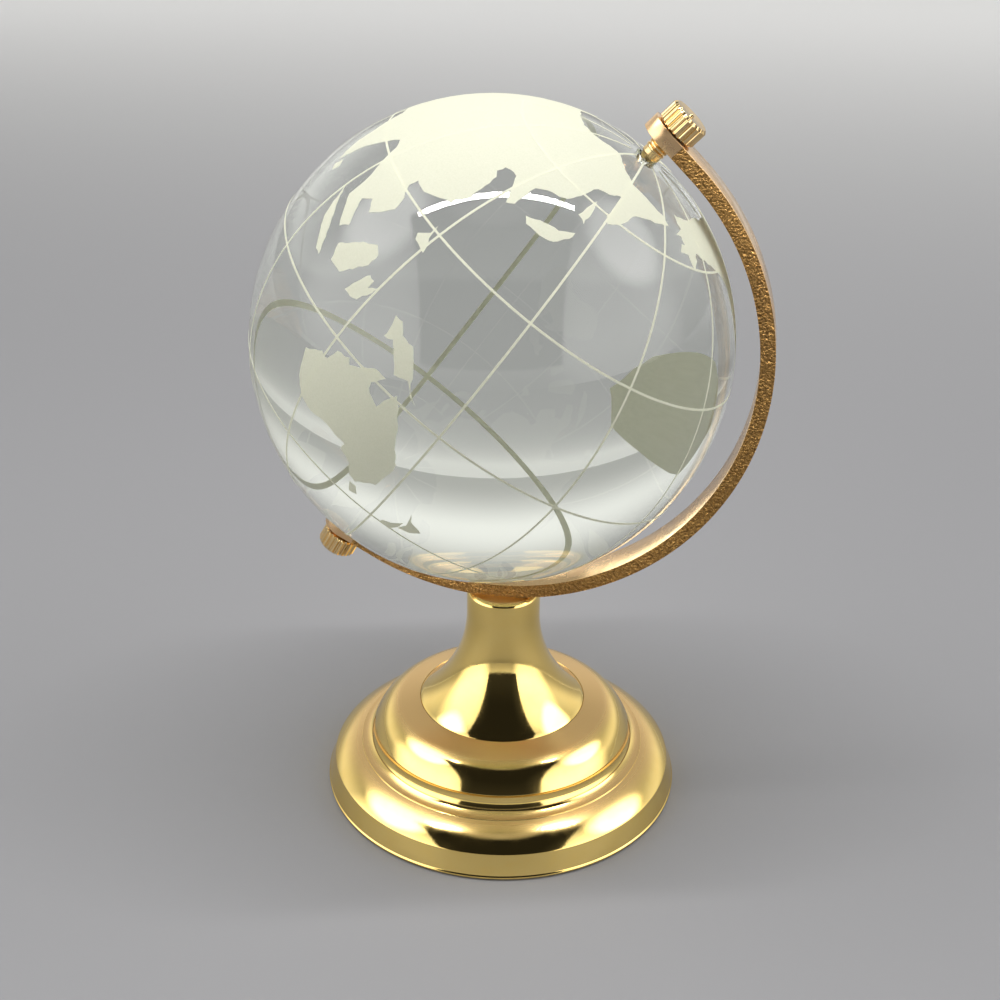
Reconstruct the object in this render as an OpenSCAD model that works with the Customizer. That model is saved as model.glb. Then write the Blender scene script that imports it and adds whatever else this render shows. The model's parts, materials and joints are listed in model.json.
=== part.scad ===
// Desktop globe: a glass ball held at its poles between two knurled screws, on a
// half-ring strip that is bolted to a turned stem and a two-tier round base.
// Millimetres, +Z up. The origin is on the axis of the base, at the face it rests on,
// and the half-ring lies in the XZ plane with its upper end towards +X.

/* [Ball] */
// Diameter of the glass ball
ball_d = 60; // [44:1:80]
// Lean of the ball's pole axis from the vertical, in degrees
pole_tilt = 36.5; // [20:0.5:45]
// Bore of each pole socket in the ball
socket_d = 2.6; // [2.4:0.1:4]
// Room left in each pole socket beyond the pin that goes deepest
socket_room = 0.45; // [0.3:0.05:1.5]

/* [Half ring] */
// How much larger the strip's inner radius is than the ball's
ring_clear = 2.2; // [1.8:0.1:5]
// Thickness of the strip
strip_t = 1.85; // [1.2:0.1:3]
// Width of the strip
strip_w = 5.1; // [4:0.1:8]
// Straight run at each end of the strip, up to its screw hole
tab_len = 5; // [3:0.5:8]
// Run of the strip past each screw hole, to its rounded end
end_len = 3; // [2.6:0.1:5]
// How far the line through both screw holes passes the ring's centre, away from the strip
hole_line_off = 0.5; // [0:0.1:0.8]
// How far the ball sits off the middle of the pole line, towards the upper screw
ball_up = 0.25; // [0:0.05:0.5]
// How far the ring's centre stands to one side of the stem's axis
ring_shift = 1.1; // [0:0.1:3]

/* [Pole screws] */
// Diameter of the screw thread
thread_d = 2.6; // [2:0.1:4]
// Pitch of the screw thread
thread_pitch = 0.45; // [0.35:0.05:0.8]
// Length of each screw from its head to its tip
screw_l = 6.1; // [5.5:0.1:6.3]
// Length of the pin on the tip that the ball turns on
pin_l = 1.4; // [1:0.1:2]
// Diameter of that pin
pin_d = 1.5; // [1:0.1:2]
// Gap left between the upper screw's head and the strip
upper_head_gap = 0.15; // [0.1:0.05:1]
// Gap left between the lower screw's head and the strip
lower_head_gap = 0.5; // [0.1:0.05:1]
// Diameter of the knurled head
head_d = 5.2; // [4:0.1:8]
// Length of the knurled head
head_h = 2.5; // [1.5:0.1:5]
// Number of ridges in the knurl
knurl_count = 22; // [14:1:32]
// Depth of the knurl grooves
knurl_depth = 0.28; // [0.1:0.02:0.5]
// Diameter of the stud's core, inside the head
core_d = 1.9; // [1.4:0.1:2]

/* [Stem] */
// Height of the stem's top above the surface the globe stands on
stem_top = 29.6; // [24:0.5:50]
// Diameter of the stem's neck
neck_d = 10; // [8:0.5:16]
// Height of the straight neck below the top
neck_h = 3.6; // [1:0.2:8]
// Rounding of the neck's top edge
neck_round = 0.8; // [0.2:0.1:1.2]
// Diameter of the stem's foot
stem_foot_d = 22.9; // [18:0.5:28]
// Depth of the seat that the stem stands in
seat_depth = 0.45; // [0.2:0.05:1]
// How far the strip sinks into the saddle in the stem's top
saddle_depth = 0.15; // [0.05:0.05:0.3]

/* [Base] */
// Diameter of the base at its foot
base_d = 49.3; // [40:1:80]
// Height of the lower tier, where the upper tier stands on it
lower_h = 6.5; // [5:0.5:12]
// Diameter of the upper tier
upper_d = 35.8; // [30:1:50]
// Height of the upper tier, where the stem stands on it
upper_h = 12.35; // [11:0.5:24]
// Wall of the hollow stem and tiers
wall = 1.7; // [1.2:0.1:2.2]
// Gap between the metal foot and the surface the globe stands on
foot_clear = 0.15; // [0.05:0.05:0.4]
// Thickness of the felt pad
pad_t = 1; // [0.6:0.1:1.5]
// Clearance all round a piece that fits in another
fit_clear = 0.05; // [0.02:0.01:0.1]

/* [Tie screw] */
// Diameter of the tie screw through the base and stem
tie_d = 3; // [2.5:0.5:4]
// Diameter of the tie screw's head
tie_head_d = 5.6; // [4.5:0.1:8]
// Height of the tie screw's head
tie_head_h = 1.6; // [1:0.1:2.2]
// Thickness of the flat washer
washer_t = 0.5; // [0.3:0.1:1]
// Outer diameter of both washers
washer_d = 6.6; // [5:0.1:10]
// Thickness of the spring washer
spring_t = 0.7; // [0.4:0.1:1]

/* [Hidden] */

$fn = 96;
over = 1;                       // how far a cutting solid runs past the face it cuts
tab_lap = 0.6;                  // how far each tab runs back into the curved strip
tab_proud = 0.02;               // how much each tab stands out past the strip's two faces
brass = [0.86, 0.68, 0.30];
old_brass = [0.72, 0.55, 0.33];

ball_r = ball_d / 2;
// Unit vectors in the XZ plane: along the poles, and square to them away from the strip
pole_dir = [sin(pole_tilt), cos(pole_tilt)];
side_dir = [-cos(pole_tilt), sin(pole_tilt)];
ring_in_r = ball_r + ring_clear;
ring_out_r = ring_in_r + strip_t;
ring_x = -ring_shift;
ring_z = stem_top - saddle_depth + sqrt(pow(ring_out_r, 2) - pow(ring_shift, 2));

// Angles in the XZ plane from +X: of the bend before each tab, and of each screw
tab_turn = atan(tab_len / ring_out_r);
hole_r = ring_out_r / cos(tab_turn);
hole_lead = asin(hole_line_off / hole_r);
upper_bend = 90 - pole_tilt + hole_lead - tab_turn;
lower_bend = -90 - pole_tilt - hole_lead + tab_turn;

// The ball hangs on the pins of the screws, which lean in from their holes
pin_reach = screw_l - upper_head_gap - pin_l / 2;
ball_side = hole_line_off + pin_reach * sin(tab_turn - hole_lead);
ball_x = ring_x + side_dir[0] * ball_side + pole_dir[0] * ball_up;
ball_z = ring_z + side_dir[1] * ball_side + pole_dir[1] * ball_up;

// How deep a screw's pin goes into the ball, along the poles
function pin_depth(bend, side, head_gap) =
    let (tip = [ring_x, ring_z] + side * tab_len * [-sin(bend), cos(bend)]
               + (ring_out_r - screw_l + head_gap) * [cos(bend), sin(bend)])
    ball_r - abs((tip - [ball_x, ball_z]) * pole_dir);

socket_depth = socket_room + max(pin_depth(upper_bend, 1, upper_head_gap),
                                 pin_depth(lower_bend, -1, lower_head_gap));

foot_r = base_d / 2;
upper_r = upper_d / 2;
stem_foot_r = stem_foot_d / 2;
seat_r = upper_r + 0.4;         // radius of the cove's foot, which stands on the lower tier
lower_web_z = lower_h - seat_depth - wall;
pole_hole_r = thread_d / 2 + fit_clear;
tie_hole_r = tie_d / 2 + fit_clear;

// Points of a circular arc from a to b that swells by `rise` to the left of the chord
function arc_points(a, b, rise, steps = 10) =
    let (chord = norm(b - a), mid = (a + b) / 2,
         radius = (chord * chord / 4 + rise * rise) / (2 * rise),
         left = [-(b[1] - a[1]), b[0] - a[0]] / chord,
         centre = mid + left * (rise - radius),
         half = asin(chord / (2 * abs(radius))) * sign(rise))
    [for (i = [0 : steps])
        let (turn = half * (1 - 2 * i / steps))
        centre + radius * (left * cos(turn) - [left[1], -left[0]] * sin(turn))];

// Stands a child drawn on +Z at a tab's outer face, with +Z pointing out along the screw
module at_tab(bend, side) {
    translate([ring_x, 0, ring_z])
        rotate([0, 90 - bend, 0])
            translate([-side * tab_len, 0, ring_out_r]) children();
}

// Turns a child drawn on +Z about the ball's centre onto the pole axis
module on_pole(flip) {
    translate([ball_x, 0, ball_z])
        rotate([0, pole_tilt + flip, 0]) children();
}

module glass_ball() {
    color([0.86, 0.93, 0.84, 0.6])
    difference() {
        translate([ball_x, 0, ball_z]) sphere(r = ball_r, $fn = 160);
        for (flip = [0, 180]) on_pole(flip) pole_socket();
    }
}

// Blind hole with a drill point, sunk from the ball's surface towards its centre
module pole_socket() {
    translate([0, 0, ball_r - socket_depth])
        cylinder(d = socket_d, h = socket_depth + over);
    translate([0, 0, ball_r - socket_depth - socket_d / 4])
        cylinder(d1 = 0, d2 = socket_d, h = socket_d / 4);
}

// Straight end of the strip, drawn with its outer face at z = 0 and its hole on +Z. It
// laps the curved part and is a hair thicker, so that the two join as one solid.
module strip_tab(side) {
    straight = end_len - strip_w / 2;
    thick = strip_t + 2 * tab_proud;
    translate([0, 0, -strip_t - tab_proud])
        difference() {
            union() {
                translate([side > 0 ? -straight : -tab_len - tab_lap, -strip_w / 2, 0])
                    cube([tab_len + tab_lap + straight, strip_w, thick]);
                translate([-side * straight, 0, 0]) cylinder(d = strip_w, h = thick);
            }
            translate([0, 0, -over]) cylinder(r = pole_hole_r, h = thick + 2 * over);
        }
}

module meridian_arm() {
    color(old_brass)
    difference() {
        union() {
            translate([ring_x, 0, ring_z]) rotate([90, 0, 0])
                rotate([0, 0, lower_bend])
                    rotate_extrude(angle = upper_bend - lower_bend, $fn = 240)
                        translate([ring_in_r, -strip_w / 2]) square([strip_t, strip_w]);
            at_tab(upper_bend, 1) strip_tab(1);
            at_tab(lower_bend, -1) strip_tab(-1);
        }
        translate([0, 0, ring_z - ring_out_r - over])
            cylinder(r = tie_hole_r, h = strip_t + 2 * over);
    }
}

// Threaded stud of a pole screw, drawn with the underside of its head at z = 0: rings for
// the thread, a plain shoulder, a cone and a pin. Its upper end is the core that carries
// the head, and ends in a small pip.
module screw_stud() {
    thread_r = thread_d / 2;
    groove = thread_pitch * 0.5;
    pip_h = 0.3;
    pin_top = pin_l - screw_l;
    cone_top = pin_top + 0.8;
    shoulder_top = cone_top + 0.7;
    rings = floor(-shoulder_top / thread_pitch);
    thread_side = [for (i = [0 : rings - 1])
        let (z = shoulder_top + i * thread_pitch)
            each [[thread_r, z], [thread_r, z + thread_pitch - groove],
                  [thread_r - groove, z + thread_pitch - groove / 2]]];
    rotate_extrude()
        polygon(concat(
            [[0, -screw_l], [pin_d / 2 - 0.3, -screw_l], [pin_d / 2, -screw_l + 0.3],
             [pin_d / 2, pin_top], [thread_r - 0.1, cone_top],
             [thread_r - 0.1, shoulder_top - 0.1]],
            thread_side,
            [[thread_r, 0], [core_d / 2, 0], [core_d / 2, head_h],
             [0.55, head_h], [0.45, head_h + pip_h], [0, head_h + pip_h]]));
}

// Knurled head: straight ridges with a chamfer at each end, and a bore for the stud's core
module screw_head() {
    head_r = head_d / 2;
    ridge_angle = 360 / knurl_count;
    // Across one ridge: how far round it each corner is, and how far down the groove
    ridge = [[0, 1], [0.3, 0.25], [0.5, 0], [0.7, 0.25]];
    difference() {
        intersection() {
            linear_extrude(head_h)
                polygon([for (i = [0 : knurl_count - 1], corner = ridge)
                    let (angle = (i + corner[0]) * ridge_angle)
                        (head_r - knurl_depth * corner[1]) * [cos(angle), sin(angle)]]);
            rotate_extrude()
                polygon([[0, 0], [head_r - 0.2, 0], [head_r, 0.15], [head_r, head_h - 0.35],
                         [head_r - 0.4, head_h], [0, head_h]]);
        }
        translate([0, 0, -over]) cylinder(d = core_d + 2 * fit_clear, h = head_h + 2 * over);
    }
}

module at_upper_head() { at_tab(upper_bend, 1) translate([0, 0, upper_head_gap]) children(); }
module at_lower_head() { at_tab(lower_bend, -1) translate([0, 0, lower_head_gap]) children(); }

module upper_screw_stud() { color(brass) at_upper_head() screw_stud(); }
module upper_screw_head() { color(brass) at_upper_head() screw_head(); }
module lower_screw_stud() { color(brass) at_lower_head() screw_stud(); }
module lower_screw_head() { color(brass) at_lower_head() screw_head(); }

// Radius of the trumpet at height z, for a shell that lies `inset` inside the outer one
function flare(z, inset, low, high) =
    let (rise = high - low, spread = stem_foot_r - neck_d / 2,
         bend = (spread * spread + rise * rise) / (2 * spread))
    neck_d / 2 - inset + bend - sqrt(pow(bend, 2) - pow(min(rise, high - z), 2));

module stem() {
    low = upper_h;
    high = stem_top - neck_h;
    foot = upper_h - seat_depth;
    neck_r = neck_d / 2;
    cavity_top = high - 2;
    steps = 24;
    color(brass)
    difference() {
        rotate_extrude()
            polygon(concat(
                [[tie_hole_r, cavity_top], [tie_hole_r, stem_top]],
                [for (i = [0 : 6]) [neck_r - neck_round + neck_round * sin(i * 15),
                                    stem_top - neck_round + neck_round * cos(i * 15)]],
                [for (i = [0 : steps]) let (z = high - (high - low) * i / steps)
                    [flare(z, 0, low, high), z]],
                [[stem_foot_r, foot], [stem_foot_r - wall, foot]],
                [for (i = [0 : steps]) let (z = foot + wall + (cavity_top - foot - wall) * i / steps)
                    [flare(z, wall, low, high), z]]));
        translate([ring_x, 0, ring_z]) rotate([90, 0, 0])
            translate([0, 0, -strip_w / 2 - fit_clear])
                cylinder(r = ring_out_r, h = strip_w + 2 * fit_clear, $fn = 240);
    }
}

module base_step() {
    stem_seat = stem_foot_r + fit_clear;
    rim = [upper_r, lower_h + 1.85];
    crease = [upper_r - 0.8, lower_h + 3.1];
    web_z = upper_h - seat_depth - wall;
    color(brass)
    rotate_extrude()
        polygon(concat(
            [[tie_hole_r, web_z], [upper_r - wall - 3, web_z], [upper_r - wall, web_z - 2],
             [upper_r - wall, lower_h - seat_depth], [seat_r, lower_h - seat_depth]],
            arc_points([seat_r, lower_h], [upper_r - 0.1, rim[1] - 0.25], 0.15, 6),
            [rim],
            arc_points(crease, [stem_foot_r + 2.6, upper_h - 0.6], -0.35),
            [[stem_seat, upper_h], [stem_seat, upper_h - seat_depth],
             [tie_hole_r, upper_h - seat_depth]]));
}

module base_foot() {
    seat = seat_r + fit_clear;
    pad_r = foot_r - wall + 0.2;
    crease = [foot_r - 1, 3.4];
    shelf = [seat_r + 1.5, lower_h - 0.7];
    color(brass)
    rotate_extrude()
        polygon(concat(
            [[tie_hole_r, lower_web_z], [foot_r - wall - 5, lower_web_z],
             [foot_r - wall - 1.2, 2.6], [foot_r - wall - 1.2, pad_t], [pad_r, pad_t],
             [pad_r, foot_clear], [foot_r - 0.1, foot_clear], [foot_r, foot_clear + 0.1],
             [foot_r, foot_clear + 0.3], [foot_r - 0.15, foot_clear + 0.45]],
            arc_points(crease, shelf, -0.3),
            arc_points(shelf + [0, 0.1], [seat, lower_h], 0.12, 6),
            [[seat, lower_h - seat_depth], [tie_hole_r, lower_h - seat_depth]]));
}

module tie_screw() {
    head_top = lower_web_z - washer_t - spring_t;
    tip_z = ring_z - sqrt(pow(ring_in_r, 2) - pow(ring_shift, 2)) - 0.1;
    color("silver")
    difference() {
        union() {
            translate([0, 0, head_top - tie_head_h]) cylinder(d = tie_head_d, h = tie_head_h);
            translate([0, 0, head_top]) cylinder(d = tie_d, h = tip_z - head_top);
        }
        for (turn = [0, 90])
            rotate([0, 0, turn])
                translate([-tie_head_d / 3, -0.4, head_top - tie_head_h - over])
                    cube([tie_head_d * 2 / 3, 0.8, over + tie_head_h * 0.6]);
    }
}

module washer_ring(top_z, thick) {
    translate([0, 0, top_z - thick])
        difference() {
            cylinder(d = washer_d, h = thick);
            translate([0, 0, -over]) cylinder(r = tie_hole_r, h = thick + 2 * over);
        }
}

module flat_washer() { color("silver") washer_ring(lower_web_z, washer_t); }

module spring_washer() {
    gap = 0.5;
    color("gray")
    difference() {
        washer_ring(lower_web_z - washer_t, spring_t);
        translate([0, -gap / 2, lower_web_z - washer_t - spring_t - over])
            cube([washer_d, gap, spring_t + 2 * over]);
    }
}

module felt_pad() {
    color([0.12, 0.12, 0.13]) cylinder(r = foot_r - wall + 0.2 - fit_clear, h = pad_t);
}

glass_ball();
meridian_arm();
upper_screw_stud();
upper_screw_head();
lower_screw_stud();
lower_screw_head();
stem();
base_step();
base_foot();
tie_screw();
spring_washer();
flat_washer();
felt_pad();
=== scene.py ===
import json
import math

import bpy
from mathutils import Matrix, Vector, geometry, noise


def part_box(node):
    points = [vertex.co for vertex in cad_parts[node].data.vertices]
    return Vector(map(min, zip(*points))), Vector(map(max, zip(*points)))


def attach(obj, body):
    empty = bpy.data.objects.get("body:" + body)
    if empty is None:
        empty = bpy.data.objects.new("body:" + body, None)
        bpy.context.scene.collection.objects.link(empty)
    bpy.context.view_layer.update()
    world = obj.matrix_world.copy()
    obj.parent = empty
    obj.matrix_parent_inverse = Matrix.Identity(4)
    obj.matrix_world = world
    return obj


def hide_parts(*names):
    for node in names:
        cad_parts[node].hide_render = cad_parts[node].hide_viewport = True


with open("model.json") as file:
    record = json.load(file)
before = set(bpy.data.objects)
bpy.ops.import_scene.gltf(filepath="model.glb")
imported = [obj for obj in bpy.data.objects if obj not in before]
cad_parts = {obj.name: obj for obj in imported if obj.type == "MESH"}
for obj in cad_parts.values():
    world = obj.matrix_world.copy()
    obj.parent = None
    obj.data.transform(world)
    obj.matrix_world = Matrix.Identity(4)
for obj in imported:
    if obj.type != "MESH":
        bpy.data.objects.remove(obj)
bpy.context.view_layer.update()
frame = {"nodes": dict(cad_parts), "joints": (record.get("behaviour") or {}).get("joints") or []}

# ---- Camera ---------------------------------------------------------------------------
# A short telephoto a hand's breadth and a half away, looking down at the globe from the
# front, a little to its right.
mm = 0.001
aim = Vector((-0.65, -0.12, 42.71)) * mm
camera_turn = math.radians(10.288)
camera_rise = math.radians(26.342)
camera_roll = math.radians(0.79)
camera_far = 184.5 * mm

bpy.ops.object.select_all(action="DESELECT")
bpy.ops.object.camera_add()
camera = bpy.context.object
camera.name = "camera"
camera.data.sensor_width = 36
camera.data.lens = 50.54
camera.data.clip_start = 0.005
camera.data.clip_end = 20
backward = Vector((math.sin(camera_turn) * math.cos(camera_rise),
                   -math.cos(camera_turn) * math.cos(camera_rise), math.sin(camera_rise)))
looking = (-backward).to_track_quat("-Z", "Y").to_matrix().to_4x4()
camera.matrix_world = (Matrix.Translation(aim + backward * camera_far) @ looking
                       @ Matrix.Rotation(camera_roll, 4, "Z"))
bpy.context.scene.camera = camera

# ---- Floor and light ------------------------------------------------------------------
# A plain grey table top in a pale room, with painted shade in front and painted light towards
# the back. A narrow strip lamp hangs overhead, soft lights glow at both sides, and the viewer
# is a dark shape in front.
floor_side = 8.0
# The floor's colour fades from painted shade near the front to painted light at the back.
floor_near_painted_shade = (0.215, 0.215, 0.225, 1)
floor_far_painted_light = (0.66, 0.66, 0.66, 1)
floor_painted_light_fade = (0.10, 0.95)
room_level = 0.50
globe_middle = Vector((0, 0, 64)) * mm
horizon_level = 0.44
bright_level = 0.95
bright_at = 0.22
ceiling_at = 0.60
viewer_half_width = 0.50
viewer_low = 0.16
viewer_high = 0.93
viewer_edge = 0.05
viewer_level = 0.035

bpy.context.scene.view_settings.view_transform = "Standard"

bpy.ops.object.select_all(action="DESELECT")
bpy.ops.mesh.primitive_plane_add(size=floor_side)
floor = bpy.context.object
floor.name = "floor"
floor_paint = bpy.data.materials.new("table_top")
floor_paint.use_nodes = True
shader = floor_paint.node_tree.nodes["Principled BSDF"]
nodes, links = floor_paint.node_tree.nodes, floor_paint.node_tree.links
where = nodes.new("ShaderNodeTexCoord")
apart = nodes.new("ShaderNodeSeparateXYZ")
# This fade along the floor paints shade in front and light behind.
painted_light_fade = nodes.new("ShaderNodeMapRange")
painted_light_fade.interpolation_type = "SMOOTHSTEP"
painted_light_fade.inputs["From Min"].default_value = floor_painted_light_fade[0]
painted_light_fade.inputs["From Max"].default_value = floor_painted_light_fade[1]
blend = nodes.new("ShaderNodeMix")
blend.data_type = "RGBA"
blend.inputs["A"].default_value = floor_near_painted_shade
blend.inputs["B"].default_value = floor_far_painted_light
links.new(where.outputs["Object"], apart.inputs[0])
links.new(apart.outputs["Y"], painted_light_fade.inputs["Value"])
links.new(painted_light_fade.outputs[0], blend.inputs["Factor"])
links.new(blend.outputs["Result"], shader.inputs["Base Color"])
shader.inputs["Roughness"].default_value = 0.7
shader.inputs["Specular IOR Level"].default_value = 0.25
floor.data.materials.append(floor_paint)


def soft_box(name, direction, distance, width, depth, watts, tint):
    """A soft box that far from the middle of the globe, in that direction, facing it."""
    place = globe_middle + Vector(direction).normalized() * distance
    bpy.ops.object.select_all(action="DESELECT")
    bpy.ops.object.light_add(type="AREA", location=place)
    lamp = bpy.context.object
    lamp.name = name
    lamp.data.shape = "RECTANGLE"
    lamp.data.size = width
    lamp.data.size_y = depth
    lamp.data.energy = watts
    lamp.data.color = tint
    lamp.rotation_euler = (-Vector(direction)).to_track_quat("-Z", "Y").to_euler()


soft_box("overhead_strip", (0.02, -0.07, 1.0), 0.42, 0.46, 0.022, 1.9, (1.0, 0.99, 0.97))

world = bpy.data.worlds.new("room")
bpy.context.scene.world = world
world.use_nodes = True
room = world.node_tree
facing = room.nodes.new("ShaderNodeTexCoord")
split = room.nodes.new("ShaderNodeSeparateXYZ")
room.links.new(facing.outputs["Generated"], split.inputs[0])


def ramp(source, start, end, low, high):
    """Values that go smoothly from low to high as the source goes from start to end."""
    node = room.nodes.new("ShaderNodeMapRange")
    node.interpolation_type = "SMOOTHSTEP"
    for socket, value in (("From Min", start), ("From Max", end), ("To Min", low),
                          ("To Max", high)):
        node.inputs[socket].default_value = value
    room.links.new(source, node.inputs["Value"])
    return node.outputs[0]


def toward(direction):
    """How far a view direction points that way, from -1 to 1."""
    node = room.nodes.new("ShaderNodeVectorMath")
    node.operation = "DOT_PRODUCT"
    node.inputs[1].default_value = direction
    room.links.new(facing.outputs["Generated"], node.inputs[0])
    return node.outputs["Value"]


def combine(operation, a, b):
    node = room.nodes.new("ShaderNodeMath")
    node.operation = operation
    room.links.new(a, node.inputs[0])
    room.links.new(b, node.inputs[1])
    return node.outputs[0]


def glow_from(direction, narrow, wide, level):
    """A soft-edged patch of light in that direction."""
    return ramp(toward(Vector(direction).normalized()), wide, narrow, 0, level)


height = split.outputs["Z"]
ahead = (math.sin(camera_turn), -math.cos(camera_turn), 0)
aside = (math.cos(camera_turn), math.sin(camera_turn), 0)
glow = combine("MULTIPLY", ramp(height, 0.0, bright_at, horizon_level / bright_level, 1.0),
               ramp(height, bright_at, ceiling_at, bright_level, room_level))
for direction, narrow, wide, level in (((-0.65, -0.07, 0.76), 0.985, 0.93, 3.6),
                                       ((0.75, 0.18, 0.64), 0.985, 0.94, 3.2),
                                       ((-0.80, -0.52, 0.30), 0.96, 0.74, 1.5),
                                       ((0.93, -0.28, 0.30), 0.96, 0.74, 1.5)):
    glow = combine("ADD", glow, glow_from(direction, narrow, wide, level))
sideways = toward(aside)
shape = combine("MULTIPLY", ramp(toward(ahead), 0.0, 0.1, 0, 1),
                combine("MULTIPLY",
                        ramp(sideways, -viewer_half_width - viewer_edge, -viewer_half_width, 0, 1),
                        ramp(sideways, viewer_half_width, viewer_half_width + viewer_edge, 1, 0)))
shape = combine("MULTIPLY", shape,
                combine("MULTIPLY", ramp(height, viewer_low - viewer_edge, viewer_low, 0, 1),
                        ramp(height, viewer_high, viewer_high + viewer_edge, 1, 0)))
clear_of_viewer = ramp(shape, 0.0, 1.0, 1.0, viewer_level)
background = room.nodes["Background"]
room.links.new(combine("MULTIPLY", glow, clear_of_viewer), background.inputs["Strength"])
background.inputs["Color"].default_value = (1.0, 0.995, 0.975, 1)

# ---- Glass ball -----------------------------------------------------------------------
# A solid ball of clear, faintly green glass, ground and polished, with a drilled socket
# at each pole that takes the pin of a screw. It turns on those two pins.
spin_joint = next(j for j in frame["joints"] if j["name"] == "ball_spin")
ball_middle = Vector(spin_joint["pos_m"])
pole = Vector(spin_joint["axis"]).normalized()
front = Vector((0, -1, 0))
east = pole.cross(front)
ball_low, ball_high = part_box("glass_ball")
skin_out = 0.02 * mm
ball_r = (ball_high.y - ball_low.y) / 2 - skin_out
socket_r = 1.3 * mm
socket_deep = 2.2 * mm
lip = 0.12 * mm


def draw_line(name, points):
    """Draws a chain of edges through the points, and stays in edit mode."""
    bpy.ops.object.select_all(action="DESELECT")
    bpy.ops.mesh.primitive_plane_add(size=mm)
    line = bpy.context.object
    line.name = name
    bpy.ops.object.mode_set(mode="EDIT")
    bpy.ops.mesh.select_mode(type="VERT")
    bpy.ops.mesh.select_all(action="SELECT")
    bpy.ops.mesh.merge(type="CENTER")
    bpy.ops.transform.translate(value=points[0])
    for last, point in zip(points, points[1:]):
        bpy.ops.mesh.extrude_vertices_move(TRANSFORM_OT_translate={"value": point - last})
    return line


def turn_solid(steps, middle, axis):
    """Spins the drawn line right round into a closed solid, and goes back to object mode."""
    bpy.ops.mesh.select_all(action="SELECT")
    bpy.ops.mesh.spin(steps=steps, angle=math.tau, center=middle, axis=axis)
    bpy.ops.mesh.select_all(action="SELECT")
    bpy.ops.mesh.remove_doubles(threshold=0.002 * mm)
    bpy.ops.mesh.normals_make_consistent(inside=False)
    bpy.ops.object.mode_set(mode="OBJECT")


def in_ball(radius, height):
    """The point at that distance from the pole axis, and that height along it."""
    return ball_middle + front * radius + pole * height


def socket_line(end):
    """Half the outline of a pole socket, from the axis out to the ball's surface."""
    floor_z = ball_r - socket_deep
    rim_z = math.sqrt(ball_r ** 2 - (socket_r + lip) ** 2)
    return [in_ball(0, end * (floor_z - socket_r / 2)), in_ball(socket_r, end * floor_z),
            in_ball(socket_r, end * (rim_z - lip)), in_ball(socket_r + lip, end * rim_z)]


rings = 128
first = math.asin((socket_r + lip) / ball_r)
arc = [in_ball(ball_r * math.sin(a), ball_r * math.cos(a))
       for a in (first + (math.pi - 2 * first) * i / rings for i in range(1, rings))]
ball = draw_line("ball", socket_line(1) + arc + socket_line(-1)[::-1])
turn_solid(192, ball_middle, pole)
bpy.ops.object.shade_smooth_by_angle(angle=math.radians(30))

clear = bpy.data.materials.new("clear_glass")
clear.use_nodes = True
shader = clear.node_tree.nodes["Principled BSDF"]
shader.inputs["Base Color"].default_value = (0.955, 0.985, 0.925, 1)
shader.inputs["Roughness"].default_value = 0.0
shader.inputs["IOR"].default_value = 1.51
shader.inputs["Transmission Weight"].default_value = 1.0
ball.data.materials.append(clear)
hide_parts("glass_ball")
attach(ball, "ball")

# ---- Etched land ----------------------------------------------------------------------
# The continents are sandblasted into the ball's surface through a mask, which leaves them
# matt, cream and nearly opaque. Each is a skin a few hundredths of a millimetre thick.
skin_in = 0.03 * mm
coast_step = 1.1
coast_rough = 0.34
coast_coarse = 60
coast_fine = 140
fine_share = 0.6
inner_step = 3.0

# Outlines are in whole degrees on the ball: latitude, and longitude east of the meridian
# that faces forward.
eurasia = [
    (18, -74), (24, -72), (29, -69), (33, -66), (32, -63), (28, -60), (24, -57), (19, -56),
    (14, -50), (16, -48), (21, -52), (23, -50), (21, -47), (23, -45), (26, -43), (28, -44),
    (31, -47), (33, -47), (33, -43), (34, -40), (36, -36), (40, -34), (44, -35), (47, -36),
    (48, -38), (50, -38), (51, -35), (50, -32), (47, -29), (45, -27), (46, -25), (52, -26),
    (54, -23), (55, -19), (56, -16), (59, -14), (62, -13), (64, -12), (65, -6), (67, 0),
    (64, 0), (60, -1), (58, 1), (59, 4), (62, 8), (64, 9), (65, 11), (66, 17), (67, 25),
    (68, 33), (70, 28), (71, 21), (72, 14), (73, 2), (75, -9), (77, -18), (79, -27),
    (79, -34), (77, -48), (75, -60), (74, -72), (73, -90), (72, -104), (71, -112),
    (73, -124), (71, -134), (66, -147), (62, -146), (61, -141), (66, -135), (68, -130),
    (65, -128), (62, -132), (60, -138), (60, -144), (57, -148), (54, -156), (49, -153),
    (49, -161), (43, -160), (43, -156), (47, -151), (50, -146), (50, -141), (45, -136),
    (47, -138), (51, -139), (47, -133), (43, -130), (47, -126), (47, -122), (43, -124),
    (42, -118), (38, -118), (33, -115), (28, -112), (22, -109), (24, -103), (28, -96),
    (31, -93), (33, -97), (35, -100), (38, -104), (34, -98), (33, -92), (33, -86),
    (30, -83), (27, -80), (22, -78)]
africa = [
    (42, -157), (43, -150), (43, -142), (40, -141), (39, -133), (40, -129), (38, -121),
    (34, -117), (28, -114), (22, -109), (21, -102), (15, -107), (9, -111), (3, -112),
    (-3, -113), (-8, -118), (-13, -120), (-19, -126), (-20, -133), (-15, -136), (-8, -138),
    (2, -139), (7, -142), (13, -143), (15, -147), (15, -157), (18, -164), (24, -169),
    (30, -168), (36, -163)]
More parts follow.
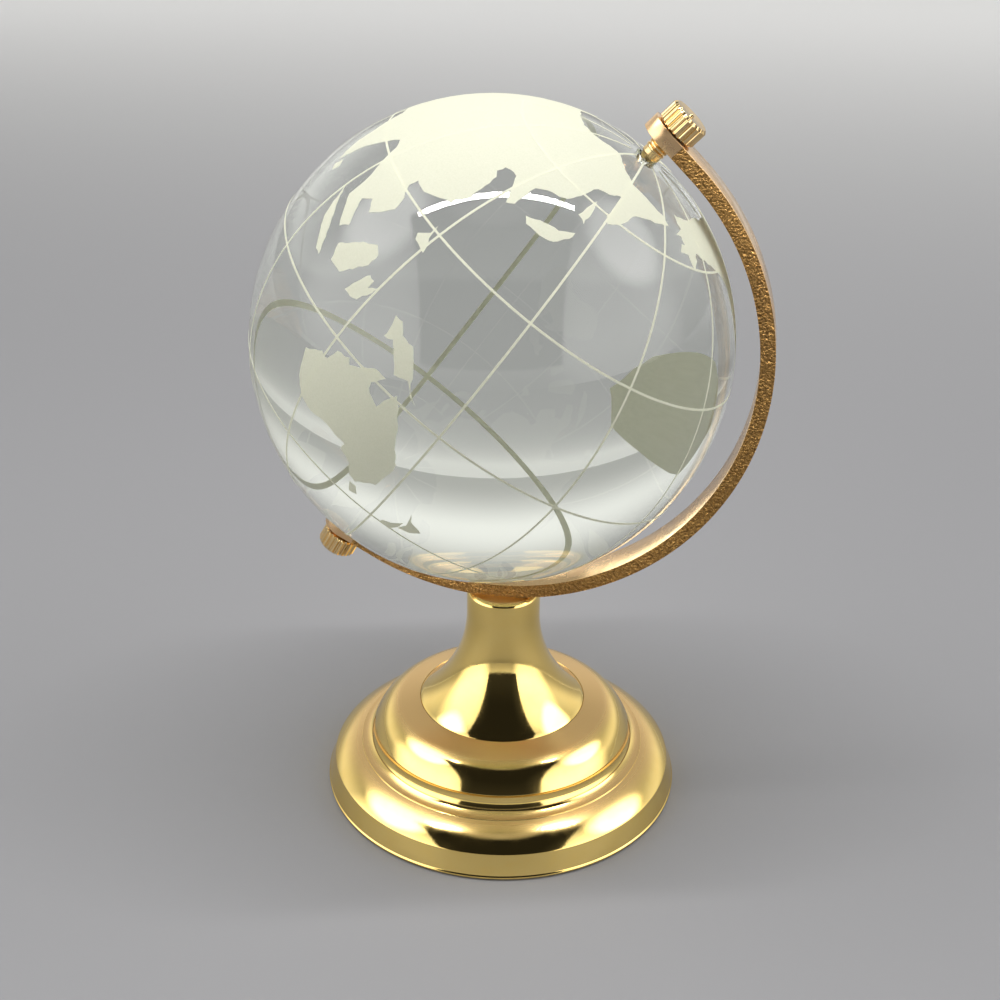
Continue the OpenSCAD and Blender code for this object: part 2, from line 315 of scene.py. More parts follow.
north_america = [
    (72, 41), (72, 50), (72, 60), (73, 70), (72, 82), (71, 98), (72, 112), (72, 123),
    (68, 121), (66, 115), (62, 114), (58, 122), (57, 128), (62, 128), (66, 131), (64, 144),
    (58, 150), (56, 145), (54, 138), (51, 146), (48, 138), (42, 132), (38, 126), (33, 127),
    (37, 122), (37, 115), (35, 111), (29, 112), (28, 117), (30, 121), (26, 120), (22, 124),
    (18, 129), (20, 122), (24, 113), (28, 104), (34, 98), (39, 94), (37, 92), (43, 86),
    (50, 84), (55, 83), (58, 80), (60, 74), (62, 65), (64, 54), (62, 53), (60, 51), (61, 48),
    (63, 47), (63, 41), (65, 42), (65, 45), (67, 43), (67, 39), (68, 42), (69, 45), (70, 42)]
south_america = [
    (18, 128), (17, 134), (14, 138), (12, 142), (7, 143), (2, 149), (-3, 152), (-6, 157),
    (-10, 161), (-13, 162), (-17, 162), (-20, 159), (-20, 155), (-24, 151), (-28, 148),
    (-33, 146), (-37, 141), (-42, 139), (-48, 139), (-53, 137), (-51, 132), (-44, 129),
    (-35, 129), (-26, 130), (-14, 131), (-7, 127), (0, 124), (7, 122), (12, 125)]
australia = [
    (-8, -35), (-5, -31), (-5, -29), (-2, -28), (-1, -25), (-2, -24), (0, -21), (2, -19),
    (2, -16), (-1, -18), (-3, -17), (-4, -14), (-1, -13), (1, -12), (-1, -10), (-4, -8),
    (-8, -6), (-12, -3), (-16, -3), (-20, -4), (-22, -6), (-24, -8), (-23, -10), (-20, -12),
    (-19, -15), (-17, -15), (-17, -18), (-17, -22), (-18, -26), (-17, -30), (-14, -33)]
greenland = [(64, 164), (68, 157), (73, 155), (78, 142), (82, 150), (84, 172), (81, -168),
             (74, -172), (69, 180), (66, 171)]
islands = {
    "tasmania": [(-25, -9), (-25, -7), (-27, -6), (-28, -8)],
    "new_guinea": [(13, -23), (13, -21), (11, -19), (11, -16), (8, -13), (3, -10), (2, -8),
                   (5, -12), (4, -15), (7, -18), (9, -20), (8, -22), (10, -22)],
    "south_island": [(-25, 7), (-27, 6), (-29, 3), (-30, 3), (-30, 6), (-27, 7)],
    "north_island": [(-21, 7), (-23, 8), (-25, 12), (-27, 10), (-28, 7), (-25, 8)],
    "sumatra": [(19, -60), (17, -58), (11, -51), (7, -48), (7, -50), (12, -56)],
    "borneo": [(12, -46), (16, -42), (19, -38), (18, -36), (15, -36), (12, -38), (9, -40),
               (9, -44)],
    "celebes": [(14, -34), (14, -32), (12, -32), (14, -30), (11, -31), (8, -33), (8, -36),
                (11, -35)],
    "luzon": [(27, -34), (29, -32), (31, -32), (28, -31), (27, -30), (25, -29), (26, -33)],
    "honshu": [(46, -20), (48, -15), (49, -10), (51, -6), (49, -6), (46, -9), (45, -13),
               (45, -18)],
    "sakhalin": [(55, -9), (58, -9), (61, -8), (60, -7), (57, -6), (54, -6)],
    "madagascar": [(1, -104), (-3, -103), (-10, -105), (-11, -107), (-7, -109), (-3, -108)],
    "britain": [(62, -157), (62, -154), (57, -151), (55, -153), (55, -157), (58, -156)],
    "ireland": [(60, -161), (59, -158), (56, -159), (57, -163)],
    "iceland": [(68, -174), (69, -168), (68, -166), (66, -169), (67, -174)],
    "cuba": [(31, 123), (31, 128), (29, 134), (28, 132), (30, 127)],
    "ceylon": [(19, -72), (18, -70), (16, -71), (17, -73)]}


def on_ball(lat, lon, radius):
    """The point at that latitude and longitude, and that far from the ball's middle."""
    high, round_it = math.radians(lat), math.radians(lon)
    level = front * math.cos(round_it) + east * math.sin(round_it)
    return ball_middle + (level * math.cos(high) + pole * math.sin(high)) * radius


def blast_land(name, outline):
    """Makes one land's skin: its outline is roughened and laid flat about its middle, filled with
    triangles, wrapped back on the ball and given its thickness."""
    corners = [(on_ball(lat, lon, 1) - ball_middle).normalized() for lat, lon in outline]
    middle = sum(corners, Vector()).normalized()
    across = middle.orthogonal().normalized()
    along = middle.cross(across)

    def flatten(ray):
        reach = middle.angle(ray)
        level = (ray - middle * ray.dot(middle)).normalized() if reach > 1e-6 else across
        return Vector((level.dot(across), level.dot(along))) * reach

    def wrap(point):
        reach = point.length
        level = (across * point.x + along * point.y).normalized() if reach > 1e-9 else across
        return middle * math.cos(reach) + level * math.sin(reach)

    coast = []
    for a, b in zip(corners, corners[1:] + corners[:1]):
        parts = max(1, round(math.degrees(a.angle(b)) / coast_step))
        for i in range(parts):
            ray = a.slerp(b, i / parts) if i else a
            wander = (noise.noise_vector(ray * coast_coarse)
                      + fine_share * noise.noise_vector(ray * coast_fine))
            coast.append(flatten((ray + wander * math.radians(coast_rough)).normalized()))
    inner = []
    step = math.radians(inner_step)
    low = [min(p[k] for p in coast) for k in (0, 1)]
    high = [max(p[k] for p in coast) for k in (0, 1)]
    for i in range(int((high[0] - low[0]) / step) + 1):
        for j in range(int((high[1] - low[1]) / step) + 1):
            shift = 0.5 * (i % 2)
            inner.append(Vector((low[0] + (i + 0.5) * step,
                                 low[1] + (j + shift + 0.25) * step)))
    loop = [(i, (i + 1) % len(coast)) for i in range(len(coast))]
    filled = geometry.delaunay_2d_cdt(coast + inner, loop, [], 1, 1e-7)
    mesh = bpy.data.meshes.new(name)
    skin = [ball_middle + wrap(p) * (ball_r + skin_out) for p in filled[0]]
    mesh.from_pydata(skin, [], filled[2])
    land = bpy.data.objects.new(name, mesh)
    bpy.context.collection.objects.link(land)
    bpy.ops.object.select_all(action="DESELECT")
    land.select_set(True)
    bpy.context.view_layer.objects.active = land
    bpy.ops.object.mode_set(mode="EDIT")
    bpy.ops.mesh.select_all(action="SELECT")
    bpy.ops.mesh.delete_loose()
    bpy.ops.mesh.select_all(action="SELECT")
    bpy.ops.mesh.normals_make_consistent(inside=False)
    bpy.ops.object.mode_set(mode="OBJECT")
    outward = sum(f.normal.dot(Vector(f.center) - ball_middle) for f in mesh.polygons)
    if outward < 0:
        mesh.flip_normals()
    thick = land.modifiers.new("thickness", "SOLIDIFY")
    thick.thickness = skin_out + skin_in
    thick.offset = -1
    bpy.ops.object.modifier_apply(modifier="thickness")
    bpy.ops.object.shade_smooth_by_angle(angle=math.radians(40))
    return land


blasted = bpy.data.materials.new("blasted_glass")
blasted.use_nodes = True
tree = blasted.node_tree
shader = tree.nodes["Principled BSDF"]
shader.inputs["Roughness"].default_value = 0.7
shader.inputs["Specular IOR Level"].default_value = 0.3
through = tree.nodes.new("ShaderNodeBsdfTranslucent")
through.inputs["Color"].default_value = (0.97, 0.97, 0.88, 1)
blend = tree.nodes.new("ShaderNodeMixShader")
blend.inputs["Fac"].default_value = 0.52
where = tree.nodes.new("ShaderNodeTexCoord")
grain = tree.nodes.new("ShaderNodeTexNoise")
grain.inputs["Scale"].default_value = 5200
grain.inputs["Detail"].default_value = 3
tint = tree.nodes.new("ShaderNodeValToRGB")
tint.color_ramp.elements[0].position = 0.3
tint.color_ramp.elements[0].color = (0.80, 0.81, 0.68, 1)
tint.color_ramp.elements[1].position = 0.7
tint.color_ramp.elements[1].color = (0.91, 0.91, 0.79, 1)
tree.links.new(where.outputs["Object"], grain.inputs["Vector"])
tree.links.new(grain.outputs["Fac"], tint.inputs["Fac"])
tree.links.new(tint.outputs["Color"], shader.inputs["Base Color"])
tree.links.new(shader.outputs[0], blend.inputs[1])
tree.links.new(through.outputs[0], blend.inputs[2])
tree.links.new(blend.outputs[0], tree.nodes["Material Output"].inputs["Surface"])

lands = {"eurasia": eurasia, "africa": africa, "north_america": north_america,
         "south_america": south_america, "australia": australia, "greenland": greenland}
for land_name, outline in {**lands, **islands}.items():
    land = blast_land("etched_" + land_name, outline)
    land.data.materials.append(blasted)
    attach(land, "ball")

# ---- Etched grid ----------------------------------------------------------------------
# Meridians and parallels every 30 degrees, blasted through thin slots in the same mask.
# Each is a flat band that follows the ball, and the bands stop short of the pole sockets.
line_w = 0.27 * mm
grid_step = 30
pole_stop = 4.5


def blast_ring(name, steps, angle, middle, axis, start, across, outward):
    """A thin band: its cross-section starts at a point of the ball and spins about an axis."""
    rows = [start + across * side * line_w / 2 + outward * level
            for side, level in ((-1, skin_out), (1, skin_out), (1, -skin_in), (-1, -skin_in))]
    ring = draw_line(name, rows)
    bpy.ops.mesh.select_all(action="SELECT")
    bpy.ops.mesh.edge_face_add()
    bpy.ops.mesh.select_all(action="SELECT")
    closed = abs(angle - math.tau) < 1e-6
    if closed:
        bpy.ops.mesh.delete(type="ONLY_FACE")
        bpy.ops.mesh.select_all(action="SELECT")
    bpy.ops.mesh.spin(steps=steps, angle=angle, center=middle, axis=axis)
    bpy.ops.mesh.select_all(action="SELECT")
    bpy.ops.mesh.remove_doubles(threshold=0.002 * mm)
    bpy.ops.mesh.normals_make_consistent(inside=False)
    bpy.ops.object.mode_set(mode="OBJECT")
    bpy.ops.object.shade_smooth_by_angle(angle=math.radians(40))
    ring.data.materials.append(blasted)
    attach(ring, "ball")


for lat in range(-60, 90, grid_step):
    start = on_ball(lat, 0, ball_r)
    outward = (start - ball_middle).normalized()
    blast_ring(f"parallel_{lat + 90}", 160, math.tau, ball_middle, pole, start,
               east.cross(outward).normalized(), outward)
for lon in range(0, 360, grid_step):
    start = on_ball(90 - pole_stop, lon, ball_r)
    outward = (start - ball_middle).normalized()
    level = front * math.cos(math.radians(lon)) + east * math.sin(math.radians(lon))
    blast_ring(f"meridian_{lon}", 90, math.radians(180 - 2 * pole_stop), ball_middle,
               level.cross(pole), start, pole.cross(level), outward)

# ---- Half-ring arm --------------------------------------------------------------------
# A brass strip with flat ends, bent to a half ring and thinly plated. Its broad faces
# are smooth and its sheared edges are rough and brown. It is drilled for both screws.
arm_low, arm_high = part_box("meridian_arm")
strip_t = 1.85 * mm
strip_w = arm_high.y - arm_low.y
ring_r = 34.05 * mm
ring_middle = Vector((arm_high.x - ring_r, 0, arm_low.z + ring_r))
tab_len = 5.0 * mm
end_len = 3.0 * mm
end_turns = 10
nearly_closed = 0.985
screw_joints = {end: next(j for j in frame["joints"] if j["name"] == end + "_screw_turn")
                for end in ("upper", "lower")}
screw_out = {end: Vector(j["axis"]).normalized() for end, j in screw_joints.items()}
screw_at = {end: Vector(j["pos_m"]) for end, j in screw_joints.items()}
screw_hole_r = 1.35 * mm
strip_bevel = 0.30 * mm
pad_reach = 3.3 * mm

lower_out = screw_out["lower"]
upper_out = screw_out["upper"]
bent = math.atan2(upper_out.z, upper_out.x) - math.atan2(lower_out.z, lower_out.x)
y_axis = Vector((0, 1, 0))


def along_strip(out):
    """The way the strip runs on past the screw hole, from the bend towards its end."""
    run = out.cross(y_axis)
    return run if out is upper_out else -run


corner = ring_middle + lower_out * ring_r
arm = draw_line("arm", [corner - y_axis * strip_w / 2, corner + y_axis * strip_w / 2,
                        corner + y_axis * strip_w / 2 - lower_out * strip_t,
                        corner - y_axis * strip_w / 2 - lower_out * strip_t])
bpy.ops.mesh.select_all(action="SELECT")
bpy.ops.mesh.edge_face_add()
bpy.ops.mesh.select_all(action="SELECT")
bpy.ops.mesh.spin(steps=110, angle=bent, center=ring_middle, axis=y_axis)
bpy.ops.object.mode_set(mode="OBJECT")
for out in (lower_out, upper_out):
    run = along_strip(out)
    bend_at = ring_middle + out * (ring_r - strip_t / 2)
    bpy.ops.object.mode_set(mode="EDIT")
    bpy.ops.mesh.select_mode(type="FACE")
    bpy.ops.mesh.select_all(action="DESELECT")
    bpy.ops.object.mode_set(mode="OBJECT")
    for face in arm.data.polygons:
        face.select = (face.center - bend_at).length < 0.01 * mm
    bpy.ops.object.mode_set(mode="EDIT")
    straight = tab_len + end_len - strip_w / 2
    done = 0.0
    stops = [(tab_len / 3, 1), (2 * tab_len / 3, 1), (straight, 1)]
    for i in range(1, end_turns + 1):
        lean = math.pi / 2 * i / end_turns * nearly_closed
        stops.append((straight + strip_w / 2 * math.sin(lean), math.cos(lean)))
    width = 1.0
    for reach, wide in stops:
        bpy.ops.mesh.extrude_region_move(TRANSFORM_OT_translate={"value": run * (reach - done)})
        bpy.ops.transform.resize(value=(1, wide / width, 1),
                                 center_override=bend_at + run * reach)
        done, width = reach, wide
    bpy.ops.object.mode_set(mode="OBJECT")
bpy.ops.object.mode_set(mode="EDIT")
bpy.ops.mesh.select_all(action="SELECT")
bpy.ops.mesh.remove_doubles(threshold=0.002 * mm)
bpy.ops.mesh.normals_make_consistent(inside=False)
bpy.ops.object.mode_set(mode="OBJECT")
soft = arm.modifiers.new("worn_corners", "BEVEL")
soft.width = strip_bevel
soft.segments = 3
soft.limit_method = "ANGLE"
soft.angle_limit = math.radians(50)
bpy.ops.object.modifier_apply(modifier="worn_corners")


def drill(piece, middle, axis, radius, depth):
    """Drills a round hole through the piece."""
    bpy.ops.object.select_all(action="DESELECT")
    bpy.ops.mesh.primitive_cylinder_add(vertices=64, radius=radius, depth=depth, location=middle,
                                        rotation=axis.to_track_quat("Z", "Y").to_euler())
    bit = bpy.context.object
    bpy.ops.object.select_all(action="DESELECT")
    piece.select_set(True)
    bpy.context.view_layer.objects.active = piece
    hole = piece.modifiers.new("hole", "BOOLEAN")
    hole.object = bit
    hole.operation = "DIFFERENCE"
    hole.solver = "EXACT"
    bpy.ops.object.modifier_apply(modifier="hole")
    bpy.data.objects.remove(bit)


for end in ("upper", "lower"):
    drill(arm, screw_at[end], screw_out[end], screw_hole_r, 3 * strip_t)
tie_hole_r = 1.55 * mm
drill(arm, Vector((0, 0, arm_low.z + strip_t / 2)), Vector((0, 0, 1)), tie_hole_r, 3 * strip_t)
bpy.ops.object.shade_smooth_by_angle(angle=math.radians(35))


def plate(name, bright, deep, rough, rough_more, pit, pit_depth, patch=260):
    """Gold plating: its colour and polish drift in soft patches, over a fine pitted ground."""
    paint = bpy.data.materials.new(name)
    paint.use_nodes = True
    nodes, links = paint.node_tree.nodes, paint.node_tree.links
    shader = nodes["Principled BSDF"]
    shader.inputs["Metallic"].default_value = 1.0
    place = nodes.new("ShaderNodeTexCoord")
    drift = nodes.new("ShaderNodeTexNoise")
    drift.inputs["Scale"].default_value = patch
    drift.inputs["Detail"].default_value = 5
    hue = nodes.new("ShaderNodeMix")
    hue.data_type = "RGBA"
    hue.inputs["A"].default_value = (*bright, 1)
    hue.inputs["B"].default_value = (*deep, 1)
    polish = nodes.new("ShaderNodeMapRange")
    polish.inputs["From Min"].default_value = 0.35
    polish.inputs["From Max"].default_value = 0.7
    polish.inputs["To Min"].default_value = rough
    polish.inputs["To Max"].default_value = rough_more
    pits = nodes.new("ShaderNodeTexNoise")
    pits.inputs["Scale"].default_value = pit
    pits.inputs["Detail"].default_value = 4
    ground = nodes.new("ShaderNodeBump")
    ground.inputs["Strength"].default_value = 1.0
    ground.inputs["Distance"].default_value = pit_depth
    links.new(place.outputs["Object"], drift.inputs["Vector"])
    links.new(place.outputs["Object"], pits.inputs["Vector"])
    links.new(drift.outputs["Fac"], hue.inputs["Factor"])
    links.new(hue.outputs["Result"], shader.inputs["Base Color"])
    links.new(drift.outputs["Fac"], polish.inputs["Value"])
    links.new(polish.outputs[0], shader.inputs["Roughness"])
    links.new(pits.outputs["Fac"], ground.inputs["Height"])
    links.new(ground.outputs["Normal"], shader.inputs["Normal"])
    return paint


strip_face = plate("strip_face", (0.92, 0.66, 0.38), (0.72, 0.46, 0.24), 0.16, 0.34, 2600,
                   0.000006)
strip_edge = plate("strip_edge", (0.62, 0.36, 0.12), (0.07, 0.032, 0.012), 0.24, 0.60, 3100,
                   0.0007, patch=2300)
arm.data.materials.append(strip_face)
arm.data.materials.append(strip_edge)
for face in arm.data.polygons:
    on_pad = min((face.center - at).length for at in screw_at.values()) < pad_reach
    face.material_index = 1 if abs(face.normal.y) > 0.75 and not on_pad else 0
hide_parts("meridian_arm")
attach(arm, "stand")

# ---- Pole screws ----------------------------------------------------------------------
# Brass thumb screws, turned and straight-knurled, pale gold plated. Each goes through the
# strip's end, and its pin holds the ball. The head's end face is dished, with a small pip.
head_r = 2.6 * mm
head_h = 2.5 * mm
ridges = 22
ridge_shape = (0.0, 0.0, 0.25, 0.9, 1.0, 0.9, 0.25, 0.0)
groove = 0.26 * mm
head_gap = {"upper": 0.15 * mm, "lower": 0.50 * mm}
stud_l = 6.1 * mm
pin_l = 1.4 * mm
pin_r = 0.75 * mm
thread_r = 1.3 * mm
pitch = 0.45 * mm
thread_deep = 0.24 * mm
core_r = 0.95 * mm
core_l = 1.7 * mm
up = Vector((0, 0, 1))
screw_plate = plate("screw_plate", (0.95, 0.74, 0.40), (0.74, 0.50, 0.22), 0.12, 0.26, 3000,
                    0.000006, patch=700)


def turn_on_lathe(name, outline, soften, segments=192, sharp=13):
    """Spins an outline of radius and height round the upright axis, and softens its edges."""
    points = [Vector((0, -x, z)) for x, z in outline]
    open_line = abs(outline[0][0]) < 1e-9
    piece = draw_line(name, points if open_line else points + points[:1])
    turn_solid(segments, (0, 0, 0), up)
    if soften:
        edge = piece.modifiers.new("soft_edges", "BEVEL")
        edge.width = soften
        edge.segments = 3
        edge.limit_method = "ANGLE"
        edge.angle_limit = math.radians(sharp)
        bpy.ops.object.modifier_apply(modifier="soft_edges")
    bpy.ops.object.shade_smooth_by_angle(angle=math.radians(sharp))
    return piece


def screw_in(piece, end):
    """Sets a piece that was made upright at the origin on its end of the strip."""
    turn = screw_out[end].to_track_quat("Z", "Y").to_matrix().to_4x4()
    piece.matrix_world = Matrix.Translation(screw_at[end] + screw_out[end] * head_gap[end]) @ turn
    bpy.ops.object.select_all(action="DESELECT")
    piece.select_set(True)
    bpy.context.view_layer.objects.active = piece
    bpy.ops.object.transform_apply(location=True, rotation=True, scale=True)
    piece.data.materials.append(screw_plate)


for end in ("upper", "lower"):
    face_z = head_h - 0.12 * mm
    outline = [(0, core_l + 0.1 * mm), (core_r + 0.05 * mm, core_l + 0.1 * mm),
               (core_r + 0.05 * mm, 0), (head_r - 0.25 * mm, 0), (head_r, 0.18 * mm),
               (head_r, head_h - 0.30 * mm), (head_r - 0.32 * mm, head_h),
               (head_r - 0.55 * mm, head_h), (0.5 * mm, face_z), (0.3 * mm, face_z),
               (0.2 * mm, face_z + 0.25 * mm), (0, face_z + 0.28 * mm)]
    knob = turn_on_lathe(end + "_knob", outline, 0, segments=ridges * len(ridge_shape))
    ridge = math.tau / ridges
    for vertex in knob.data.vertices:
        reach = vertex.co.xy.length
        if reach > head_r - 0.4 * mm and 0.05 * mm < vertex.co.z < head_h - 0.05 * mm:
            place = (math.atan2(vertex.co.y, vertex.co.x) / ridge) % 1
            deep = ridge_shape[round(place * len(ridge_shape)) % len(ridge_shape)]
            shrink = (reach - groove * deep) / reach
            vertex.co = Vector((vertex.co.x * shrink, vertex.co.y * shrink, vertex.co.z))
    bpy.ops.object.select_all(action="DESELECT")
    knob.select_set(True)
    bpy.context.view_layer.objects.active = knob
    bpy.ops.object.shade_smooth_by_angle(angle=math.radians(24))
    screw_in(knob, end)
    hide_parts(end + "_screw_head")
    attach(knob, end + "_head")

    pin_top = pin_l - stud_l
    shoulder = pin_top + 1.5 * mm
    outline = [(0, -stud_l), (pin_r - 0.3 * mm, -stud_l), (pin_r, 0.3 * mm - stud_l),
               (pin_r, pin_top), (thread_r - 0.1 * mm, pin_top + 0.8 * mm),
               (thread_r - 0.1 * mm, shoulder - 0.1 * mm)]
    for i in range(int(-shoulder / pitch)):
        low = shoulder + i * pitch
        outline += [(thread_r, low), (thread_r, low + 0.45 * pitch),
                    (thread_r - thread_deep, low + 0.72 * pitch)]
    outline += [(thread_r, -0.05 * mm), (core_r, 0), (core_r, core_l), (0, core_l)]
    stud = turn_on_lathe(end + "_stud", outline, 0.03 * mm, segments=96)
    screw_in(stud, end)
    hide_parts(end + "_screw_stud")
    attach(stud, end + "_stud")

# ---- Turned stem and base -------------------------------------------------------------
# Three hollow castings, turned, polished and gold plated: a trumpet stem in a seat in the
# upper tier, which stands in a seat in the lower tier. The tie screw clamps them. The faces
# that look up are duller, and their browner colour is a painted reflection.
wall = 1.7 * mm
seat_deep = 0.45 * mm
polished = plate("polished_gold", (0.98, 0.74, 0.27), (0.93, 0.66, 0.20), 0.03, 0.11, 3400,
                 0.000002, patch=420)


def bow(a, b, rise, steps):
    """Points of an arc from a to b, which swells by `rise` to the left of the straight line."""
    a, b = Vector(a), Vector(b)
    chord = (b - a).length
    left = Vector((-(b - a).y, (b - a).x)) / chord
    radius = (chord * chord / 4 + rise * rise) / (2 * rise)
    middle = (a + b) / 2 + left * (rise - radius)
    half = math.asin(chord / (2 * abs(radius))) * math.copysign(1, rise)
    ahead = Vector((left.y, -left.x))
    points = []
    for i in range(steps + 1):
        turn = half * (1 - 2 * i / steps)
        points.append(middle + (left * math.cos(turn) - ahead * math.sin(turn)) * radius)
    return points


tree = polished.node_tree
shader = tree.nodes["Principled BSDF"]
surface = tree.nodes.new("ShaderNodeNewGeometry")
facing_up = tree.nodes.new("ShaderNodeSeparateXYZ")
# Faces that look up get a duller polish and a browner colour; the brown is a painted reflection.
up_dull_and_painted_reflection = tree.nodes.new("ShaderNodeMapRange")
up_dull_and_painted_reflection.interpolation_type = "SMOOTHSTEP"
up_dull_and_painted_reflection.inputs["From Min"].default_value = 0.78
up_dull_and_painted_reflection.inputs["From Max"].default_value = 0.97
dull = tree.nodes.new("ShaderNodeMix")
dull.inputs["B"].default_value = 0.30
painted_reflection_brown = tree.nodes.new("ShaderNodeMix")
painted_reflection_brown.data_type = "RGBA"
painted_reflection_brown.inputs["B"].default_value = (0.78, 0.52, 0.22, 1)
clean_polish = shader.inputs["Roughness"].links[0].from_socket
clean_colour = shader.inputs["Base Color"].links[0].from_socket
tree.links.new(surface.outputs["Normal"], facing_up.inputs[0])
tree.links.new(facing_up.outputs["Z"], up_dull_and_painted_reflection.inputs["Value"])
tree.links.new(up_dull_and_painted_reflection.outputs[0], dull.inputs["Factor"])
tree.links.new(up_dull_and_painted_reflection.outputs[0], painted_reflection_brown.inputs["Factor"])
tree.links.new(clean_polish, dull.inputs["A"])
tree.links.new(clean_colour, painted_reflection_brown.inputs["A"])
tree.links.new(dull.outputs["Result"], shader.inputs["Roughness"])
tree.links.new(painted_reflection_brown.outputs["Result"], shader.inputs["Base Color"])


def gild(piece, node):
    """Plates a turned piece of the stand, which takes the CAD part's place."""
    piece.data.materials.append(polished)
    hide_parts(node)
    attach(piece, "stand")


stem_low, stem_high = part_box("stem")
foot_low, foot_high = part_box("base_foot")
step_low, step_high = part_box("base_step")
neck_r = 5.0 * mm
neck_h = 3.6 * mm
neck_round = 0.8 * mm
stem_r = stem_high.x
flare_top = stem_high.z - neck_h
flare_low = step_high.z
flare_r = ((stem_r - neck_r) ** 2 + (flare_top - flare_low) ** 2) / (2 * (stem_r - neck_r))


def flare(z, inset):
    """The trumpet's radius at height z, for a surface that lies `inset` inside the outer one."""
    drop = min(flare_top - flare_low, max(0.0, flare_top - z))
    return neck_r - inset + flare_r - math.sqrt(flare_r ** 2 - drop ** 2)


hollow_top = flare_top - 2 * mm
stem_line = [(tie_hole_r, hollow_top), (tie_hole_r, stem_high.z)]
stem_line += [(neck_r - neck_round + neck_round * math.sin(a),
               stem_high.z - neck_round + neck_round * math.cos(a))
              for a in (math.pi / 2 * i / 8 for i in range(9))]
stem_line += [(flare(z, 0), z)
              for z in (flare_top + (flare_low - flare_top) * i / 40 for i in range(41))]
stem_line += [(stem_r, stem_low.z), (stem_r - wall, stem_low.z)]
stem_line += [(flare(z, wall), z)
              for z in (stem_low.z + wall + (hollow_top - stem_low.z - wall) * i / 20
                        for i in range(21))]
gild(turn_on_lathe("trumpet_stem", stem_line, 0.05 * mm), "stem")

seat_r = step_high.x
rim_r = seat_r - 0.4 * mm
web_z = step_high.z - seat_deep - wall
lower_h = foot_high.z
stem_seat = stem_r + 0.05 * mm
step_line = [(tie_hole_r, web_z), (rim_r - wall - 3 * mm, web_z),
             (rim_r - wall, web_z - 2 * mm), (rim_r - wall, step_low.z), (seat_r, step_low.z)]
step_line += bow((seat_r, lower_h), (rim_r - 0.1 * mm, lower_h + 1.6 * mm), 0.15 * mm, 8)
step_line += [(rim_r, lower_h + 1.85 * mm)]
step_line += bow((rim_r - 0.8 * mm, lower_h + 3.1 * mm),
                 (stem_r + 2.6 * mm, step_high.z - 0.6 * mm), -0.35 * mm, 14)
step_line += [(stem_seat, step_high.z), (stem_seat, step_high.z - seat_deep),
              (tie_hole_r, step_high.z - seat_deep)]
gild(turn_on_lathe("upper_tier", step_line, 0.05 * mm), "base_step")

foot_r = foot_high.x
pad_t = 1.0 * mm
pad_seat = foot_r - wall + 0.2 * mm
foot_gap = foot_low.z
foot_seat = seat_r + 0.05 * mm
lower_web = lower_h - seat_deep - wall
shelf = (seat_r + 1.5 * mm, lower_h - 0.7 * mm)
foot_line = [(tie_hole_r, lower_web), (foot_r - wall - 5 * mm, lower_web),
             (foot_r - wall - 1.2 * mm, 2.6 * mm), (foot_r - wall - 1.2 * mm, pad_t),
             (pad_seat, pad_t), (pad_seat, foot_gap), (foot_r - 0.1 * mm, foot_gap),
             (foot_r, foot_gap + 0.1 * mm), (foot_r, foot_gap + 0.3 * mm),
             (foot_r - 0.15 * mm, foot_gap + 0.45 * mm)]
foot_line += bow((foot_r - 1 * mm, 3.4 * mm), shelf, -0.3 * mm, 14)
foot_line += bow((shelf[0], shelf[1] + 0.1 * mm), (foot_seat, lower_h), 0.12 * mm, 8)
foot_line += [(foot_seat, lower_h - seat_deep), (tie_hole_r, lower_h - seat_deep)]
gild(turn_on_lathe("lower_tier", foot_line, 0.05 * mm), "base_foot")

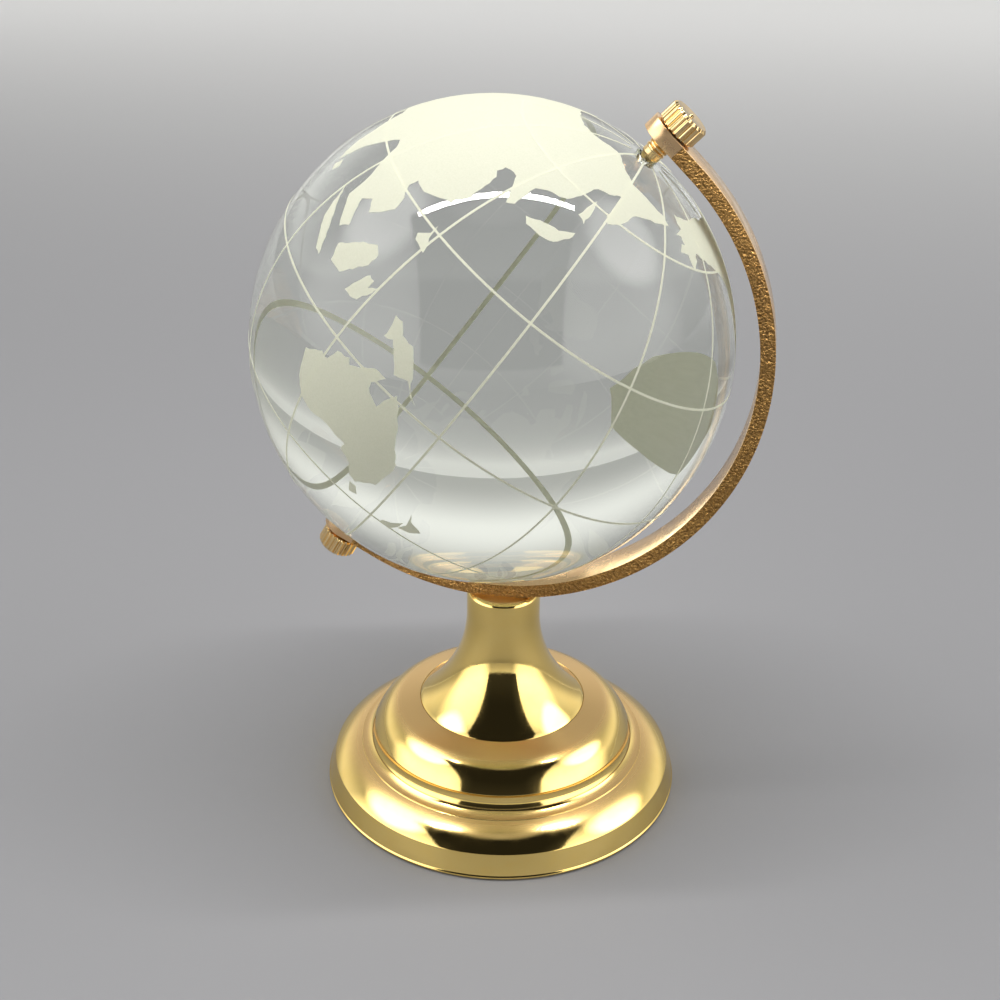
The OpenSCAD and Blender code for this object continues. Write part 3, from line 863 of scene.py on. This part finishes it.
# ---- Tie screw, washers and pad -------------------------------------------------------
# A zinc-plated screw with a spring washer and a flat washer, inside the base, and the
# black felt pad that is glued into its foot and covers them.
zinc = bpy.data.materials.new("zinc_plate")
zinc.use_nodes = True
tree = zinc.node_tree
shader = tree.nodes["Principled BSDF"]
shader.inputs["Base Color"].default_value = (0.62, 0.63, 0.64, 1)
shader.inputs["Metallic"].default_value = 1.0
spangle = tree.nodes.new("ShaderNodeTexNoise")
spangle.inputs["Scale"].default_value = 900
cloud = tree.nodes.new("ShaderNodeMapRange")
cloud.inputs["To Min"].default_value = 0.28
cloud.inputs["To Max"].default_value = 0.46
where = tree.nodes.new("ShaderNodeTexCoord")
tree.links.new(where.outputs["Object"], spangle.inputs["Vector"])
tree.links.new(spangle.outputs["Fac"], cloud.inputs["Value"])
tree.links.new(cloud.outputs[0], shader.inputs["Roughness"])
for name in ("tie_screw", "spring_washer", "flat_washer"):
    frame["nodes"][name].data.materials.clear()
    frame["nodes"][name].data.materials.append(zinc)

pad_low, pad_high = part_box("felt_pad")
bpy.ops.object.select_all(action="DESELECT")
bpy.ops.mesh.primitive_cylinder_add(vertices=128, radius=pad_high.x,
                                    depth=pad_high.z - pad_low.z,
                                    location=(0, 0, (pad_high.z + pad_low.z) / 2))
pad = bpy.context.object
pad.name = "felt_disc"
bpy.ops.object.transform_apply(location=True)
edge = pad.modifiers.new("cut_edge", "BEVEL")
edge.width = 0.15 * mm
edge.segments = 3
edge.limit_method = "ANGLE"
bpy.ops.object.modifier_apply(modifier="cut_edge")
bpy.ops.object.shade_smooth_by_angle(angle=math.radians(35))
felt = bpy.data.materials.new("black_felt")
felt.use_nodes = True
tree = felt.node_tree
shader = tree.nodes["Principled BSDF"]
shader.inputs["Roughness"].default_value = 0.95
shader.inputs["Sheen Weight"].default_value = 0.3
where = tree.nodes.new("ShaderNodeTexCoord")
fibre = tree.nodes.new("ShaderNodeTexNoise")
fibre.inputs["Scale"].default_value = 2600
fibre.inputs["Detail"].default_value = 6
shade = tree.nodes.new("ShaderNodeValToRGB")
shade.color_ramp.elements[0].color = (0.020, 0.020, 0.023, 1)
shade.color_ramp.elements[1].color = (0.085, 0.085, 0.092, 1)
nap = tree.nodes.new("ShaderNodeBump")
nap.inputs["Distance"].default_value = 0.00012
tree.links.new(where.outputs["Object"], fibre.inputs["Vector"])
tree.links.new(fibre.outputs["Fac"], shade.inputs["Fac"])
tree.links.new(shade.outputs["Color"], shader.inputs["Base Color"])
tree.links.new(fibre.outputs["Fac"], nap.inputs["Height"])
tree.links.new(nap.outputs["Normal"], shader.inputs["Normal"])
pad.data.materials.append(felt)
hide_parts("felt_pad")
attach(pad, "stand")
